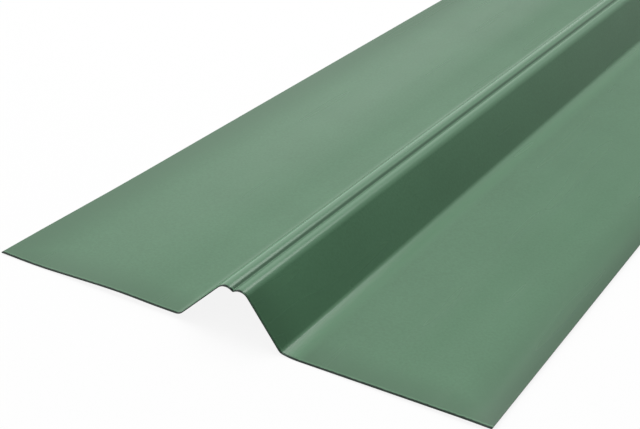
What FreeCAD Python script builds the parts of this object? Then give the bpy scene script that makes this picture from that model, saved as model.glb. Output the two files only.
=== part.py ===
import FreeCAD, Part
import math
import os

# A roof ridge cap: one length of painted steel strip, folded into two wide flanges with a raised
# rib between them. The rib's crest has two rounded humps with a crease down the middle.
# The section lies in the XZ plane and runs along Y. The origin is on the floor under the cap's middle.

# Driving dimensions, in millimetres and degrees. Widths of the flanges and the rib's base are between
# the sharp corners of the sheet's middle line. A flank is the flat run on one side of the crease.
# Bend radii are on the inside of each bend.
CAP_LENGTH = 2000.0
SHEET_THICKNESS = 0.5
FLANGE_WIDTH = 114.3
RIB_BASE_WIDTH = 61.4
RIB_SIDE_ANGLE = 48.0
CREASE_FLANK_WIDTH = 0.6
CREASE_FLANK_ANGLE = 30.0
FOOT_BEND_RADIUS = 5.7
HUMP_BEND_RADIUS = 6.6
CREASE_BEND_RADIUS = 0.5


def crest_half_width():
    """From the crease to a hump's sharp corner: what the two bends and the flank between them take up."""
    flank_angle = math.radians(CREASE_FLANK_ANGLE)
    hump_turn = math.radians(RIB_SIDE_ANGLE) + flank_angle
    hump_part = (HUMP_BEND_RADIUS + SHEET_THICKNESS / 2) * math.tan(hump_turn / 2)
    crease_part = (CREASE_BEND_RADIUS + SHEET_THICKNESS / 2) * math.tan(flank_angle)
    return (hump_part + CREASE_FLANK_WIDTH + crease_part) * math.cos(flank_angle)


def fold_corners():
    """The sharp corners of the sheet's middle line from left to right, each with its bend's inside radius."""
    flange_level = SHEET_THICKNESS / 2
    foot = RIB_BASE_WIDTH / 2
    hump = crest_half_width()
    hump_level = flange_level + (foot - hump) * math.tan(math.radians(RIB_SIDE_ANGLE))
    crease_level = hump_level - hump * math.tan(math.radians(CREASE_FLANK_ANGLE))
    left_half = [
        (-foot - FLANGE_WIDTH, flange_level, 0.0),
        (-foot, flange_level, FOOT_BEND_RADIUS),
        (-hump, hump_level, HUMP_BEND_RADIUS),
    ]
    crease = [(0.0, crease_level, CREASE_BEND_RADIUS)]
    right_half = [(-x, z, radius) for x, z, radius in reversed(left_half)]
    return [(FreeCAD.Vector(x, 0, z), radius) for x, z, radius in left_half + crease + right_half]


def upward(direction):
    """The unit vector square to the sheet, on its upper side, where the middle line runs this way."""
    return FreeCAD.Vector(-direction.z, 0, direction.x).normalize()


def bend(before, corner, after, inside_radius):
    """The start, middle and end of one bend's round middle line, each with its unit vector upward."""
    incoming = (corner - before).normalize()
    outgoing = (after - corner).normalize()
    half_turn = incoming.getAngle(outgoing) / 2
    radius = inside_radius + SHEET_THICKNESS / 2
    start = corner - incoming * radius * math.tan(half_turn)
    end = corner + outgoing * radius * math.tan(half_turn)
    to_centre = (outgoing - incoming).normalize()
    middle = corner + to_centre * (radius / math.cos(half_turn) - radius)
    return [(start, upward(incoming)), (middle, upward(end - start)), (end, upward(outgoing))]


def surface_line(offset):
    """The section's line at this height above the sheet's middle: straight runs with round bends between."""
    corners = fold_corners()
    points = [corner for corner, radius in corners]
    run_start = points[0] + upward(points[1] - points[0]) * offset
    edges = []
    for before, (corner, radius), after in zip(points, corners[1:-1], points[2:]):
        start, middle, end = [point + up * offset for point, up in bend(before, corner, after, radius)]
        edges.append(Part.LineSegment(run_start, start).toShape())
        edges.append(Part.Arc(start, middle, end).toShape())
        run_start = end
    run_end = points[-1] + upward(points[-1] - points[-2]) * offset
    edges.append(Part.LineSegment(run_start, run_end).toShape())
    return Part.Wire(edges)


def cut_edge(lower_corner, upper_corner):
    """The thin edge of the sheet between its two faces."""
    return Part.LineSegment(lower_corner.Point, upper_corner.Point).toShape()


def sheet_section():
    """The closed face of the folded sheet, as its cut end shows it."""
    upper = surface_line(SHEET_THICKNESS / 2)
    lower = surface_line(-SHEET_THICKNESS / 2)
    left_edge = cut_edge(lower.OrderedVertexes[0], upper.OrderedVertexes[0])
    right_edge = cut_edge(lower.OrderedVertexes[-1], upper.OrderedVertexes[-1])
    outline = Part.sortEdges(upper.Edges + [right_edge] + lower.Edges + [left_edge])[0]
    return Part.Face(Part.Wire(outline))


def ridge_cap():
    """The section drawn out to the cap's length, with its middle over the origin."""
    section = sheet_section()
    section.translate(FreeCAD.Vector(0, -CAP_LENGTH / 2, 0))
    return section.extrude(FreeCAD.Vector(0, CAP_LENGTH, 0))


def main():
    os.makedirs("parts", exist_ok=True)
    cap = ridge_cap()
    cap.exportStep("parts/ridge_cap.step")
    box = cap.BoundBox
    print(f"one solid {cap.ShapeType == 'Solid'}, valid {cap.isValid()}, volume {cap.Volume / 1000:.1f} cm3")
    print(f"size {box.XLength:.2f} x {box.YLength:.2f} x {box.ZLength:.2f} mm, lowest at {box.ZMin:.3f}")
    print(f"width of the flat strip {surface_line(0.0).Length:.1f} mm")


main()
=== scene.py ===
import math

import bpy
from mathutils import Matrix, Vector


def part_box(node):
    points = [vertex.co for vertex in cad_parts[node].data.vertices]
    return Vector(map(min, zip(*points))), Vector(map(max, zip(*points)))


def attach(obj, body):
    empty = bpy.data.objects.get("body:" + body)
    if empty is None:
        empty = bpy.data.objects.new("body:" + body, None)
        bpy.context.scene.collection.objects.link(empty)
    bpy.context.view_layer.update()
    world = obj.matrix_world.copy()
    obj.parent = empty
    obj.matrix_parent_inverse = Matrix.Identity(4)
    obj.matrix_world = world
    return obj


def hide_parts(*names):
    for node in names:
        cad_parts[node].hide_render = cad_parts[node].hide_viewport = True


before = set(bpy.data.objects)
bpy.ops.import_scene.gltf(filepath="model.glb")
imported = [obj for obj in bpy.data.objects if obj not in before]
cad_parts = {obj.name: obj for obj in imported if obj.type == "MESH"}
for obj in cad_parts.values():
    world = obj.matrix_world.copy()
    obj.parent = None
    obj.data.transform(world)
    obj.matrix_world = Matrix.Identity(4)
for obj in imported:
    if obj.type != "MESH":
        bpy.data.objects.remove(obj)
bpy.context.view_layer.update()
capLow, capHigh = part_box("ridge_cap")
print("frame loaded, cap", [round(side, 4) for side in capHigh - capLow], "m")

scene = bpy.context.scene
scene.view_settings.view_transform = "Standard"


# folded sheet, metres and degrees, measured along the middle of the sheet
capFold = {
    "sheet": 0.0005,
    "ribBase": 0.0607,
    "sideAngle": 48.2,
    "flank": 0.0008,  # flat run on each side of the crease
    "flankAngle": 29.4,
    "footRadius": 0.0057,  # inside radii
    "rightFootRadius": 0.0038,
    "humpRadius": 0.0060,
    "creaseRadius": 0.0005,
    "ribLean": 1.37,  # the rib leans to the right a little, as the cap lies
    "crestShift": 0.001023,  # the crease lies to the right of the middle
    # slope and run of each stretch of a flange, the last run being worked out
    "leftSet": [(-1.0, 0.014), (2.9, 0.026), (-1.2, 0.004), (0.5, 0.0)],  # in from the edge
    "leftSetRadii": [0.33, 0.38, 0.38],
    "rightSet": [(-11.0, 0.0), (1.0, 0.085), (-0.2, 0.0)],  # out from the rib
    "rightSetRadii": [0.044, 0.5],
    "cornerMove": (-0.0012, 0, 0.0002),  # the near left corner is drawn out a little
    "cornerReach": 0.13,
    # how many faces each part of the fold gets
    "lengthSteps": 60,
    "edgeSteps": 2,
    "setSteps": 6,
    "setRunSteps": 3,
    "runSteps": 4,
    "bendSteps": 14,
    "humpSteps": 20,
    "flankSteps": 1,
    "smoothAngle": 25,
    "pickReach": 1e-4,
    "mergeReach": 1e-6,
}


def alongSheet(heading):
    return Vector((math.cos(heading), 0, math.sin(heading)))


def squareTo(heading):
    return Vector((-math.sin(heading), 0, math.cos(heading)))


# each step is its kind, its length or turn, its radius and its number of faces
def flangeSteps(stretches, radii, fold):
    steps = []
    for index, (slope, run) in enumerate(stretches):
        if index:
            turn = slope - stretches[index - 1][0]
            steps.append(("bend", turn, radii[index - 1], fold["setSteps"]))
        if run:
            steps.append(("run", run, 0, fold["setRunSteps"]))
    return steps


def ribSteps(fold):
    half = fold["sheet"] / 2
    foot = fold["footRadius"] + half
    rightFoot = fold["rightFootRadius"] + half
    hump = fold["humpRadius"] + half
    crease = fold["creaseRadius"] + half
    side = math.radians(fold["sideAngle"])
    fall = math.radians(fold["flankAngle"])
    humpCut = hump * math.tan((side + fall) / 2)  # what a hump takes off each straight run
    crestHalf = (humpCut + fold["flank"] + crease * math.tan(fall)) * math.cos(fall)
    rise = (fold["ribBase"] / 2 - crestHalf) / math.cos(side) - foot * math.tan(side / 2) - humpCut
    leftTurn = fold["sideAngle"] - fold["ribLean"] - fold["leftSet"][-1][0]
    rightTurn = fold["sideAngle"] + fold["ribLean"] + fold["rightSet"][0][0]
    rightRise = rise + (foot - rightFoot) * math.tan(math.radians(rightTurn) / 2)
    overHump = ("bend", -fold["sideAngle"] - fold["flankAngle"], hump, fold["humpSteps"])
    downFlank = ("run", fold["flank"], 0, fold["flankSteps"])
    return [
        ("bend", leftTurn, foot, fold["bendSteps"]),
        ("run", rise, 0, fold["runSteps"]),
        overHump,
        downFlank,
        ("bend", 2 * fold["flankAngle"], crease, fold["bendSteps"]),
        downFlank,
        overHump,
        ("run", rightRise, 0, fold["runSteps"]),
        ("bend", rightTurn, rightFoot, fold["bendSteps"]),
    ]


def walk(steps, heading):
    place = Vector((0, 0, 0))
    lowest = 0.0
    for kind, amount, radius, _ in steps:
        if kind == "run":
            place += alongSheet(heading) * amount
        else:
            turned = heading + math.radians(amount)
            place += (squareTo(heading) - squareTo(turned)) * math.copysign(radius, amount)
            heading = turned
        lowest = min(lowest, place.z)
    return place, heading, lowest


def capSteps(fold, heading):
    left = flangeSteps(fold["leftSet"], fold["leftSetRadii"], fold)
    rib = ribSteps(fold)
    right = flangeSteps(fold["rightSet"], fold["rightSetRadii"], fold)
    crease = fold["creaseRadius"] + fold["sheet"] / 2
    toCrease, _, _ = walk(left + rib[:len(rib) // 2], heading)
    creaseX = toCrease.x + crease * math.sin(math.radians(fold["flankAngle"]))
    # the last runs bring the crease and then the right edge to their places
    left.append(("run", fold["crestShift"] - capLow.x - creaseX, 0, fold["runSteps"]))
    toLastRun, slope, _ = walk(left + rib + right, heading)
    lastRun = (capHigh.x - capLow.x - toLastRun.x) / math.cos(slope)
    right.append(("run", lastRun, 0, fold["runSteps"]))
    return left + rib + right


def pickVertices(piece, wanted):
    bpy.ops.object.mode_set(mode="EDIT")
    bpy.ops.mesh.select_mode(type="VERT")
    bpy.ops.mesh.select_all(action="DESELECT")
    bpy.ops.object.mode_set(mode="OBJECT")
    for vertex in piece.data.vertices:
        vertex.select = wanted(vertex.co)
    bpy.ops.object.mode_set(mode="EDIT")


def edgeStrip(place, heading, width, fold):
    bpy.ops.object.select_all(action="DESELECT")
    bpy.ops.mesh.primitive_grid_add(
        x_subdivisions=fold["edgeSteps"], y_subdivisions=fold["lengthSteps"], size=1,
        location=place + alongSheet(heading) * width / 2)
    cap = bpy.context.object
    cap.name = "foldedCap"
    cap.scale = (width, capHigh.y - capLow.y, 1)
    cap.rotation_euler = (0, -heading, 0)
    bpy.ops.object.transform_apply(location=True, rotation=True, scale=True)
    return cap


def foldSheet(fold):
    heading = math.radians(fold["leftSet"][0][0])
    steps = capSteps(fold, heading)
    _, _, lowest = walk(steps, heading)
    place = Vector((capLow.x, 0, capLow.z + fold["sheet"] / 2 - lowest))
    firstRun = steps[0][1]
    cap = edgeStrip(place, heading, firstRun, fold)
    place += alongSheet(heading) * firstRun
    pickVertices(cap, lambda spot: abs(spot.x - place.x) < fold["pickReach"])  # the strip's inner edge
    for kind, amount, radius, count in steps[1:]:
        if kind == "run":
            step = alongSheet(heading) * amount / count
            for _ in range(count):
                bpy.ops.mesh.extrude_region_move(TRANSFORM_OT_translate={"value": step})
            place += step * count
        else:
            turn = math.radians(amount)
            bow = math.copysign(radius, turn)
            centre = place + squareTo(heading) * bow
            bpy.ops.mesh.spin(steps=count, angle=turn, center=centre, axis=(0, 1, 0))
            heading += turn
            place = centre - squareTo(heading) * bow
    bpy.ops.mesh.select_all(action="SELECT")
    bpy.ops.mesh.remove_doubles(threshold=fold["mergeReach"])
    bpy.ops.mesh.normals_make_consistent(inside=False)
    bpy.ops.object.mode_set(mode="OBJECT")
    if cap.data.polygons[0].normal.z < 0:  # the painted side is the upper one
        bpy.ops.object.mode_set(mode="EDIT")
        bpy.ops.mesh.flip_normals()
        bpy.ops.object.mode_set(mode="OBJECT")
    print("fold ends at", [round(v * 1000, 3) for v in place], "mm, faces", len(cap.data.polygons))
    return cap


def drawOutCorner(cap, fold):
    near = fold["pickReach"]
    pickVertices(cap, lambda spot: spot.x < capLow.x + near and spot.y < capLow.y + near)
    bpy.ops.transform.translate(
        value=fold["cornerMove"], use_proportional_edit=True,
        proportional_edit_falloff="SMOOTH", proportional_size=fold["cornerReach"])
    bpy.ops.object.mode_set(mode="OBJECT")


def thicken(cap, fold):
    wall = cap.modifiers.new("sheetThickness", "SOLIDIFY")
    wall.thickness = fold["sheet"]
    wall.offset = 0
    wall.use_even_offset = True
    wall.material_offset = 1  # back coat underneath
    wall.material_offset_rim = 2  # cut steel all round
    bpy.ops.object.modifier_apply(modifier=wall.name)
    bpy.ops.object.shade_smooth_by_angle(angle=math.radians(fold["smoothAngle"]))


# paint and bare steel, with painted light and shade, metres and plain colours
coatLook = {
    "green": {
        "plain": (0.0660, 0.169, 0.088, 1),
        "light": (0.0819, 0.204, 0.109, 1),
        # dark rim at the cut ends: bare, dulled steel, made darker and wider as painted shade of the
        # end
        "rim": (0.020, 0.033, 0.025, 1),
        "gloss": (0.22, 0.28),
        "grain": {"Mottle Scale": 16, "Fleck Scale": 650, "Streak Scale": 70, "Peel Scale": 1400},
        "wearAndPaintedLight": {"Rim Width": 0.0013, "Shade Width": 0.032},
        # painted shade: the flanges darken towards every edge and end, over the Shade Width
        "edge": (0.057, 0.147, 0.076, 1),
        # painted highlight: a lighter line just inside the cut ends, where the sheared edge catches
        # light
        "rimHighlight": (0.080, 0.196, 0.106, 1),
        # painted highlight: lighter paint along the top of the humps, above the crest height
        "crest": (0.086, 0.208, 0.114, 1),
        "crestHeight": (0.0258, 0.0278),
        "paintedLightBands": {  # painted light and shade along the cap: colour, place across it and reach to each side
            # painted shade along the right outer edge
            "rightEdgeShade": ((0.043, 0.112, 0.058, 1), 0.1455, 0.013),
            # painted highlight along the left shoulder of the first hump
            "leftShoulderHighlight": ((0.15, 0.34, 0.20, 1), -0.0074, 0.0020),
            # painted highlight along the right foot bend
            "rightFoot": ((0.091, 0.224, 0.119, 1), 0.0360, 0.0085),
            # painted shade in the crease
            "crease": ((0.040, 0.106, 0.056, 1), 0.0, 0.0014),
        },
    },
    "grey": {
        "plain": (0.33, 0.34, 0.33, 1),
        "light": (0.45, 0.46, 0.45, 1),
        "rim": (0.16, 0.16, 0.15, 1),
        "gloss": (0.45, 0.55),
        "grain": {"Mottle Scale": 24, "Fleck Scale": 500, "Streak Scale": 60, "Peel Scale": 1100},
        "wearAndPaintedLight": {"Rim Width": 0.0010},
    },
    # near-black bare steel on the cut faces: real steel, darkened as painted shade of the ends
    "steel": {
        "plain": (0.020, 0.032, 0.025, 1),
        "light": (0.050, 0.070, 0.058, 1),
        "gloss": (0.4, 0.65),
        "grain": {"Mottle Scale": 900, "Fleck Scale": 900, "Peel Scale": 1400},
    },
    "noiseSpan": (0.3, 0.7),  # what the noise mostly keeps to
    "noiseDetail": {"mottle": 4, "fleck": 2, "streak": 1, "peel": 2, "ragged": 3},
    "fleckShare": 0.58,  # fine flecks in the colour, beside broad mottle
    "peel": 0.00001,  # depth of the fine grain
    "drawnOut": 0.08,  # streaks run along the strip, as it was rolled
    "ragged": 0.0002,  # the worn rim's unevenness
    "raggedScale": 420,
    "rimReach": (0.75, 1.05),  # in rim widths from a cut end
    # painted highlight, in rim widths from a cut end
    "rimHighlightReach": (1.3, 2.2),
    "steepPlace": 0.019,  # the rim and the painted highlight are fainter on the rib's right side
    "steepReach": (0.009, 0.013),
    "steepRimAndHighlight": 0.25,
}


def addNode(tree, kind, **values):
    node = tree.nodes.new(kind)
    for name, value in values.items():
        setattr(node, name, value)
    return node


def feed(tree, socket, value):
    if isinstance(value, (int, float, tuple)):
        socket.default_value = value
    else:
        tree.links.new(value, socket)


def noiseFrom(tree, place, scale, detail):
    noise = addNode(tree, "ShaderNodeTexNoise")
    noise.inputs["Detail"].default_value = detail
    feed(tree, noise.inputs["Scale"], scale)
    feed(tree, noise.inputs["Vector"], place)
    return noise.outputs["Fac"]


def spread(tree, value, fromRange, toRange, smooth=False):
    node = addNode(tree, "ShaderNodeMapRange", interpolation_type="SMOOTHSTEP" if smooth else "LINEAR")
    for socket, number in zip(("From Min", "From Max", "To Min", "To Max"), fromRange + toRange):
        node.inputs[socket].default_value = number
    feed(tree, node.inputs["Value"], value)
    return node.outputs["Result"]


def combine(tree, operation, first, second=0):
    node = addNode(tree, "ShaderNodeMath", operation=operation)
    feed(tree, node.inputs[0], first)
    feed(tree, node.inputs[1], second)
    return node.outputs["Value"]


def awayFrom(tree, value, centre):
    return combine(tree, "ABSOLUTE", combine(tree, "SUBTRACT", value, centre))


def stripe(tree, value, centre, reach):
    return spread(tree, awayFrom(tree, value, centre), (0, reach), (1, 0), True)


def blend(tree, share, first, second):
    node = addNode(tree, "ShaderNodeMix", data_type="RGBA")
    feed(tree, node.inputs["Factor"], share)
    feed(tree, node.inputs[6], first)  # the node's colour sockets, by number because names repeat
    feed(tree, node.inputs[7], second)
    return node.outputs[2]


def objectPlace(tree):
    return addNode(tree, "ShaderNodeTexCoord").outputs["Object"]


def splitPlace(tree, place):
    split = addNode(tree, "ShaderNodeSeparateXYZ")
    feed(tree, split.inputs["Vector"], place)
    return split.outputs


def newGroup(name, inputs, outputs):
    group = bpy.data.node_groups.new(name, "ShaderNodeTree")
    for socket in inputs:
        group.interface.new_socket(name=socket, in_out="INPUT", socket_type="NodeSocketFloat")
    for socket in outputs:
        group.interface.new_socket(name=socket, in_out="OUTPUT", socket_type="NodeSocketFloat")
    return group, addNode(group, "NodeGroupInput").outputs, addNode(group, "NodeGroupOutput").inputs


def placeGroup(tree, group, values):
    node = addNode(tree, "ShaderNodeGroup", node_tree=group)
    for name, value in values.items():
        node.inputs[name].default_value = value
    return node.outputs


def coatGrainGroup(look):
    scales = ("Mottle Scale", "Fleck Scale", "Streak Scale", "Peel Scale")
    group, given, result = newGroup("coatGrain", scales, ("Mottle", "Sheen", "Peel"))
    span = look["noiseSpan"]
    detail = look["noiseDetail"]
    place = objectPlace(group)
    drawn = addNode(group, "ShaderNodeMapping")
    drawn.inputs["Scale"].default_value = (1, look["drawnOut"], 1)
    feed(group, drawn.inputs["Vector"], place)
    mottle = noiseFrom(group, place, given["Mottle Scale"], detail["mottle"])
    mottle = spread(group, mottle, span, (0, 1 - look["fleckShare"]))
    flecks = noiseFrom(group, place, given["Fleck Scale"], detail["fleck"])
    flecks = spread(group, flecks, span, (0, look["fleckShare"]))
    streaks = noiseFrom(group, drawn.outputs["Vector"], given["Streak Scale"], detail["streak"])
    feed(group, result["Mottle"], combine(group, "ADD", mottle, flecks))
    feed(group, result["Sheen"], spread(group, streaks, span, (0, 1)))
    feed(group, result["Peel"], noiseFrom(group, place, given["Peel Scale"], detail["peel"]))
    return group


# dark rim at the cut ends, partly painted shade, a painted highlight just inside them, and painted
# shade towards every edge
def edgeWearAndPaintedLightGroup(look):
    widths = ("Rim Width", "Shade Width")
    group, given, result = newGroup("edgeWearAndPaintedLight", widths, ("Rim", "Rim Highlight", "Shade"))
    place = objectPlace(group)
    spot = splitPlace(group, place)
    fromSide = combine(group, "SUBTRACT", capHigh.x, combine(group, "ABSOLUTE", spot["X"]))
    fromEnd = combine(group, "SUBTRACT", capHigh.y, combine(group, "ABSOLUTE", spot["Y"]))
    uneven = noiseFrom(group, place, look["raggedScale"], look["noiseDetail"]["ragged"])
    uneven = spread(group, uneven, look["noiseSpan"], (-look["ragged"], look["ragged"]))
    # the rim wears at the sheared ends, not along the slit edges, and is darkened there as painted
    # shade of the cut end
    fromRim = combine(group, "DIVIDE", combine(group, "ADD", fromEnd, uneven), given["Rim Width"])
    rim = spread(group, fromRim, look["rimReach"], (1, 0))
    # painted highlight just inside the cut ends
    rimHighlight = spread(group, fromRim, look["rimHighlightReach"], (1, 0), True)
    # rim and painted highlight fainter on the rib's right side
    fromSteep = awayFrom(group, spot["X"], look["steepPlace"])
    steep = spread(group, fromSteep, look["steepReach"], (look["steepRimAndHighlight"], 1), True)
    # painted shade, falling off from every edge and end over the Shade Width
    nearest = combine(group, "MINIMUM", fromSide, fromEnd)
    nearest = combine(group, "DIVIDE", nearest, given["Shade Width"])
    feed(group, result["Rim"], combine(group, "MULTIPLY", rim, steep))
    feed(group, result["Rim Highlight"], combine(group, "MULTIPLY", rimHighlight, steep))
    feed(group, result["Shade"], spread(group, nearest, (0, 1), (1, 0), True))
    return group


# painted light and shade on the top coat: towards the edges, on the crest, in bands along the cap and
# just inside the cut ends
def topPaintedLightAndShade(tree, colour, wearAndPaintedLight, coat):
    spot = splitPlace(tree, objectPlace(tree))
    # painted highlight on the top of the humps
    crest = spread(tree, spot["Z"], coat["crestHeight"], (0, 1), True)
    # painted shade towards every edge and end
    colour = blend(tree, wearAndPaintedLight["Shade"], colour, coat["edge"])
    colour = blend(tree, crest, colour, coat["crest"])
    for tint, centre, reach in coat["paintedLightBands"].values():
        colour = blend(tree, stripe(tree, spot["X"], centre, reach), colour, tint)
    # painted highlight just inside the cut ends
    return blend(tree, wearAndPaintedLight["Rim Highlight"], colour, coat["rimHighlight"])


def fineGrain(tree, shader, height, depth):
    bump = addNode(tree, "ShaderNodeBump")
    bump.inputs["Distance"].default_value = depth
    feed(tree, bump.inputs["Height"], height)
    feed(tree, shader.inputs["Normal"], bump.outputs["Normal"])


def newMaterial(name):
    material = bpy.data.materials.new(name)
    material.use_nodes = True
    return material, material.node_tree, material.node_tree.nodes["Principled BSDF"]


def coatMaterial(name, coat, groups, look):
    material, tree, shader = newMaterial(name)
    grain = placeGroup(tree, groups["grain"], coat["grain"])
    wearAndPaintedLight = placeGroup(tree, groups["wearAndPaintedLight"], coat["wearAndPaintedLight"])
    colour = blend(tree, grain["Mottle"], coat["plain"], coat["light"])
    if "paintedLightBands" in coat:
        colour = topPaintedLightAndShade(tree, colour, wearAndPaintedLight, coat)
    feed(tree, shader.inputs["Base Color"], blend(tree, wearAndPaintedLight["Rim"], colour, coat["rim"]))
    feed(tree, shader.inputs["Metallic"], wearAndPaintedLight["Rim"])  # bare, dulled steel at the very edge, darkened as painted shade of the cut end
    feed(tree, shader.inputs["Roughness"], spread(tree, grain["Sheen"], (0, 1), coat["gloss"]))
    fineGrain(tree, shader, grain["Peel"], look["peel"])
    return material


def cutEdgeMaterial(name, coat, groups, look):
    material, tree, shader = newMaterial(name)
    grain = placeGroup(tree, groups["grain"], coat["grain"])
    shader.inputs["Metallic"].default_value = 1
    # near-black steel, partly painted shade of the cut faces
    feed(tree, shader.inputs["Base Color"], blend(tree, grain["Mottle"], coat["plain"], coat["light"]))
    feed(tree, shader.inputs["Roughness"], spread(tree, grain["Mottle"], (0, 1), coat["gloss"]))
    fineGrain(tree, shader, grain["Peel"], look["peel"])
    return material


cap = foldSheet(capFold)
drawOutCorner(cap, capFold)
groups = {"grain": coatGrainGroup(coatLook), "wearAndPaintedLight": edgeWearAndPaintedLightGroup(coatLook)}
cap.data.materials.append(coatMaterial("greenTopCoat", coatLook["green"], groups, coatLook))
cap.data.materials.append(coatMaterial("greyBackCoat", coatLook["grey"], groups, coatLook))
cap.data.materials.append(cutEdgeMaterial("cutSteelEdge", coatLook["steel"], groups, coatLook))
print("materials ready")
thicken(cap, capFold)
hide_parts("ridge_cap")
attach(cap, "root")
print("cap ready, triangles", sum(len(face.vertices) - 2 for face in cap.data.polygons))


# floor: white to the eye, with a faint shadow
floorLook = {
    "size": 30.0,
    "drop": 0.0002,
    "colour": (0.85, 0.85, 0.85, 1),
    "roughness": 0.9,
    "glow": 0.88,
}


def floorMaterial(look):
    material, tree, shader = newMaterial("paleFloor")
    shader.inputs["Base Color"].default_value = look["colour"]
    shader.inputs["Roughness"].default_value = look["roughness"]
    shader.inputs["Specular IOR Level"].default_value = 0
    glow = addNode(tree, "ShaderNodeEmission")
    glow.inputs["Color"].default_value = (1, 1, 1, 1)
    glow.inputs["Strength"].default_value = 1
    rays = addNode(tree, "ShaderNodeLightPath").outputs
    seen = combine(tree, "ADD", rays["Is Camera Ray"], rays["Is Glossy Ray"])
    seen = combine(tree, "ADD", seen, rays["Is Transmission Ray"])
    seen.node.use_clamp = True
    mix = addNode(tree, "ShaderNodeMixShader")
    feed(tree, mix.inputs["Fac"], combine(tree, "MULTIPLY", seen, look["glow"]))
    feed(tree, mix.inputs[1], shader.outputs["BSDF"])
    feed(tree, mix.inputs[2], glow.outputs["Emission"])
    feed(tree, tree.nodes["Material Output"].inputs["Surface"], mix.outputs["Shader"])
    return material


bpy.ops.object.select_all(action="DESELECT")
bpy.ops.mesh.primitive_plane_add(size=floorLook["size"], location=(0, 0, capLow.z - floorLook["drop"]))
floor = bpy.context.object
floor.name = "studioFloor"
floor.data.materials.append(floorMaterial(floorLook))
print("floor set")


# camera, fitted to the near cut end, the crest and the long edges of the photograph
cameraSetup = {
    "place": (0.31530, -1.54323, 0.38336),
    "turn": (63.589, -4.563, 28.6539),
    "lens": 81.067,
    "sensor": 36.0,
}
cameraData = bpy.data.cameras.new("photoCamera")
cameraData.lens = cameraSetup["lens"]
cameraData.sensor_width = cameraSetup["sensor"]
cameraData.sensor_fit = "HORIZONTAL"
camera = bpy.data.objects.new("photoCamera", cameraData)
camera.location = cameraSetup["place"]
camera.rotation_euler = [math.radians(angle) for angle in cameraSetup["turn"]]
scene.collection.objects.link(camera)
scene.camera = camera
print("camera set")


# studio light: a room that is bright on the left and dark on the right, with two soft boxes
studioLight = {
    "roomStrength": 2.0,
    "roomStops": [  # from the left, -1, to the right, 1, with the level there
        (-1.0, 0.55), (-0.68, 0.55), (-0.6, 0.44), (-0.45, 0.47), (-0.36, 0.393),
        (-0.32, 0.343), (-0.27, 0.23), (-0.2, 0.26), (-0.12, 0.36), (-0.03, 0.33),
        (0.08, 0.24), (0.3, 0.25), (0.45, 0.11), (0.6, 0.05), (1.0, 0.03),
    ],
    "horizonLevel": 0.75,  # the room is dimmer near the horizon
    "horizonRise": 0.35,
    "target": (0, -0.9, 0),
    "boxes": {  # bearing from +Y and height in degrees, and distance, from the target
        "backBox": {"bearing": -8.0, "height": 48.5, "distance": 2.2, "size": 0.86, "level": 3.2},
        "topBox": {"bearing": -60.0, "height": 76.0, "distance": 2.0, "size": 1.6, "level": 3.5},
    },
}


def studioRoom(light):
    room = bpy.data.worlds.new("studioRoom")
    scene.world = room
    room.use_nodes = True
    tree = room.node_tree
    direction = splitPlace(tree, addNode(tree, "ShaderNodeTexCoord").outputs["Generated"])
    ramp = addNode(tree, "ShaderNodeValToRGB")
    ramp.color_ramp.interpolation = "EASE"
    stops = ramp.color_ramp.elements
    while len(stops) < len(light["roomStops"]):
        stops.new(0.5)
    for stop, (side, level) in zip(stops, light["roomStops"]):
        stop.position = (side + 1) / 2
        stop.color = (level, level, level, 1)
    feed(tree, ramp.inputs["Fac"], spread(tree, direction["X"], (-1, 1), (0, 1)))
    full = light["roomStrength"]
    strength = spread(
        tree, direction["Z"], (0, light["horizonRise"]), (light["horizonLevel"] * full, full), True)
    background = tree.nodes["Background"]
    feed(tree, background.inputs["Color"], ramp.outputs["Color"])
    feed(tree, background.inputs["Strength"], strength)


def softBox(name, box, target):
    bearing = math.radians(box["bearing"])
    height = math.radians(box["height"])
    outward = math.cos(height)
    away = Vector((math.sin(bearing) * outward, math.cos(bearing) * outward, math.sin(height)))
    data = bpy.data.lights.new(name, "AREA")
    data.shape = "DISK"
    data.size = box["size"]
    area = math.pi * (box["size"] / 2) ** 2
    data.energy = box["level"] * math.pi * area  # an even glow of this level
    lamp = bpy.data.objects.new(name, data)
    lamp.location = Vector(target) + away * box["distance"]
    lamp.rotation_euler = (-away).to_track_quat("-Z", "Y").to_euler()
    scene.collection.objects.link(lamp)


studioRoom(studioLight)
for name, box in studioLight["boxes"].items():
    softBox(name, box, studioLight["target"])
print("lights set")
